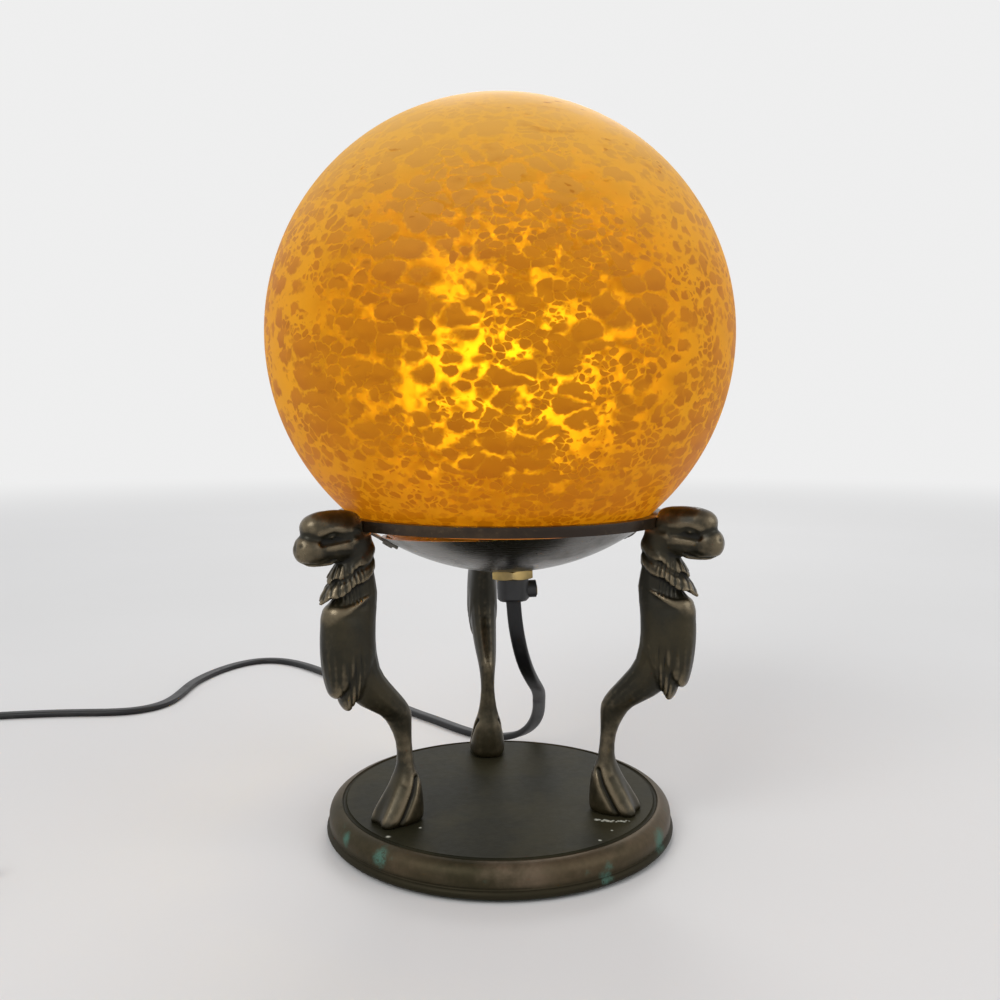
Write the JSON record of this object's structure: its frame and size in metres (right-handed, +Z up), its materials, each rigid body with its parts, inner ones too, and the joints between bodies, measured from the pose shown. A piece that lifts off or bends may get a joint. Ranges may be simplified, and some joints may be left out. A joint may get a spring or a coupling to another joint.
{
  "type": "globe table lamp",
  "caption": "Table lamp: griffin legs on a round base carry a ring with a hung pan, a screw-in bulb and a mottled glass globe that lifts off; flat lead with switch and plug.",
  "frame": {"origin": "centre of the underside of the felt, on the axis of the base", "axes": "+Z up along the axis of the base and the globe, +Y towards the rear leg, +X to the right seen from the front"},
  "size_m": [0.4209, 0.3766, 0.2873],
  "materials": {
    "base_bronze": "dark patinated bronze with rubbed edges",
    "leg_bronze": "dark olive brown patinated bronze",
    "ring_bronze": "dark bronze, smooth",
    "felt": "pressed felt",
    "screw_steel": "zinc plated",
    "amber_glass": "mottled satin amber glass, lit from inside",
    "pan_metal": "satin spun metal",
    "turned_brass": "turned brass",
    "screw_brass": "dull brass",
    "grip_plastic": "moulded nylon",
    "holder_plastic": "moulded phenolic",
    "holder_ceramic": "unglazed steatite",
    "bulb_glass": "frosted bulb glass",
    "cap_metal": "rolled thin metal",
    "bulb_black": "vitreous insulator",
    "filament": "fine wire",
    "flex": "black two-core flex",
    "tie_wire": "paper-covered tie",
    "switch_plastic": "moulded black plastic",
    "rocker_plastic": "moulded black plastic",
    "plug_plastic": "moulded black plastic",
    "pin_metal": "nickel plated"
  },
  "bodies": {
    "stand": {"base_plate": "base_bronze", "base_felt": "felt", "leg_left": "leg_bronze", "leg_right": "leg_bronze", "leg_rear": "leg_bronze", "leg_screws": "screw_steel", "leg_washers": "screw_steel", "gallery_ring": "ring_bronze", "ring_screws": "screw_brass", "pan_hangers": "screw_steel", "hanger_screws": "screw_steel", "hanger_rivets": "screw_steel", "dish": "pan_metal", "threaded_tube": "turned_brass", "hex_nut": "turned_brass", "tube_washer": "screw_brass", "lock_nut": "turned_brass", "cord_grip": "grip_plastic", "cord_grip_screw": "screw_brass", "holder_cap": "holder_plastic", "holder_insulator": "holder_ceramic", "holder_thread": "screw_brass", "holder_contact": "screw_brass", "holder_terminals": "screw_brass", "holder_shell": "holder_plastic", "inner_cord": "flex", "cord_lead": "flex", "cord_run": "flex", "cord_coil": "flex", "cord_tail": "flex", "coil_tie": "tie_wire", "switch_lower": "switch_plastic", "switch_upper": "switch_plastic", "switch_screws": "screw_steel", "plug_body": "plug_plastic", "plug_pins": "pin_metal"},
    "globe": {"globe": "amber_glass"},
    "bulb_pip": {"bulb_contact": "cap_metal"},
    "bulb": {"bulb_insulator": "bulb_black", "bulb_cap": "cap_metal", "bulb_glass": "bulb_glass", "bulb_stem": "bulb_glass", "bulb_filament": "filament"},
    "rocker": {"switch_rocker": "rocker_plastic"}
  },
  "joints": [
    {"name": "globe_lift", "type": "slide", "parent": "stand", "child": "globe", "axis": [0, 0, 1], "range_m": [0, 0.12]},
    {"name": "bulb_rise", "type": "slide", "parent": "stand", "child": "bulb_pip", "axis": [-0.0305, 0.0529, 0.9981], "range_m": [0, 0.0156]},
    {"name": "bulb_turn", "type": "hinge", "parent": "bulb_pip", "child": "bulb", "pos_m": [0.0044, 0, 0.1203], "axis": [-0.0305, 0.0529, 0.9981], "range_deg": [0, 1980]},
    {"name": "switch_rock", "type": "hinge", "parent": "stand", "child": "rocker", "pos_m": [-0.311, 0.1, 0.0135], "axis": [1, 0, 0], "range_deg": [-16, 0]}
  ],
  "couplings": [
    {"joint": "bulb_rise", "follows": "bulb_turn", "m_per_rad": 0.00044882}
  ]
}
